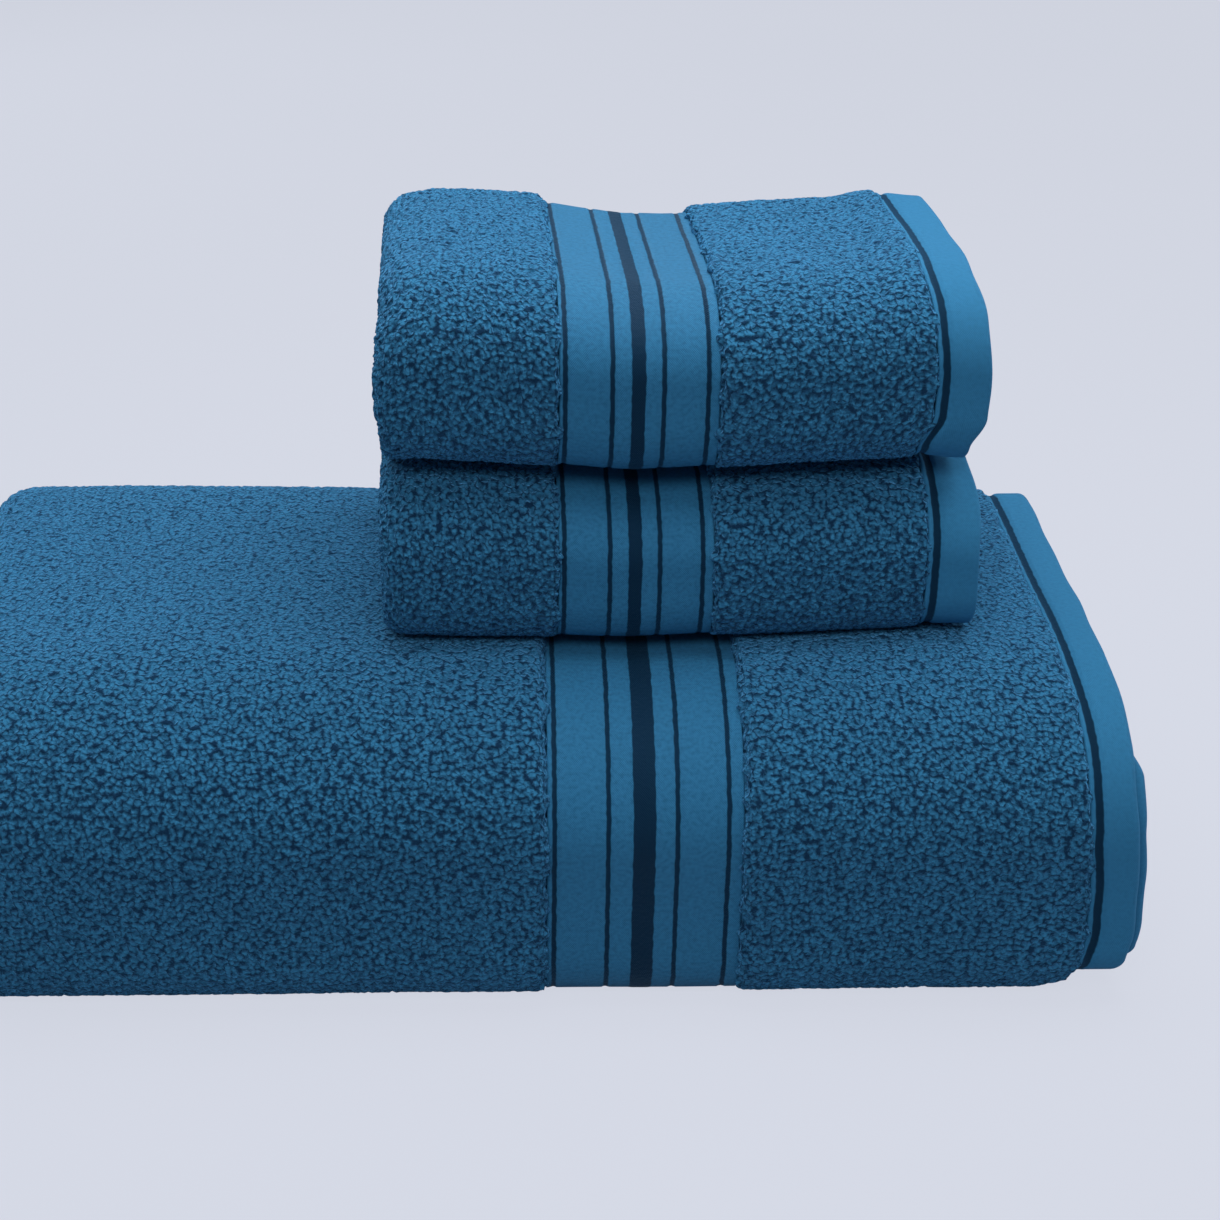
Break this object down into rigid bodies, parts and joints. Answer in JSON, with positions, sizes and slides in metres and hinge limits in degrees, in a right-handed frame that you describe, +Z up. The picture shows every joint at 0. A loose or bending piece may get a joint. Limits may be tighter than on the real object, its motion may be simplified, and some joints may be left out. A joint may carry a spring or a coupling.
{
  "type": "bath towel set",
  "caption": "Folded terry bath towel with two matching folded hand towels stacked on it, each with a woven stripe border and a flat hem.",
  "frame": {"origin": "on the surface that the stack stands on, at the middle of the bath towel's footprint", "axes": "+Z up, +X along the folded towels' long side towards their hemmed ends, -Y towards the front folds"},
  "size_m": [0.35, 0.185, 0.2058],
  "materials": {
    "terry": "looped cotton terry pile, teal blue, matt",
    "border": "flat woven dobby border with thin dark lines and one wide dark satin stripe",
    "hem": "flat woven turned hem with a row of stitches and one dark line",
    "inside": "looped cotton terry pile, teal blue, matt",
    "label": "plain white satin ribbon without print"
  },
  "bodies": {
    "bath_towel": {"bath_terry_body": "terry", "bath_dobby_border": "border", "bath_terry_end": "terry", "bath_end_hem": "hem", "bath_far_end_hem": "hem", "bath_inner_layers": "inside", "bath_side_hem_top": "hem", "bath_side_hem_bottom": "hem", "bath_care_label": "label"},
    "lower_hand_towel": {"lower_hand_terry_body": "terry", "lower_hand_dobby_border": "border", "lower_hand_terry_end": "terry", "lower_hand_end_hem": "hem", "lower_hand_far_end_hem": "hem", "lower_hand_inner_layers": "inside", "lower_hand_side_hem_top": "hem", "lower_hand_side_hem_bottom": "hem", "lower_hand_care_label": "label"},
    "upper_hand_towel": {"upper_hand_terry_body": "terry", "upper_hand_dobby_border": "border", "upper_hand_terry_end": "terry", "upper_hand_end_hem": "hem", "upper_hand_far_end_hem": "hem", "upper_hand_inner_layers": "inside", "upper_hand_side_hem_top": "hem", "upper_hand_side_hem_bottom": "hem", "upper_hand_care_label": "label"}
  },
  "joints": [
    {"name": "lower_hand_lift", "type": "slide", "parent": "bath_towel", "child": "lower_hand_towel", "axis": [0, 0, 1], "range_m": [0, 0.15]},
    {"name": "upper_hand_lift", "type": "slide", "parent": "lower_hand_towel", "child": "upper_hand_towel", "axis": [0, 0, 1], "range_m": [0, 0.15]}
  ]
}
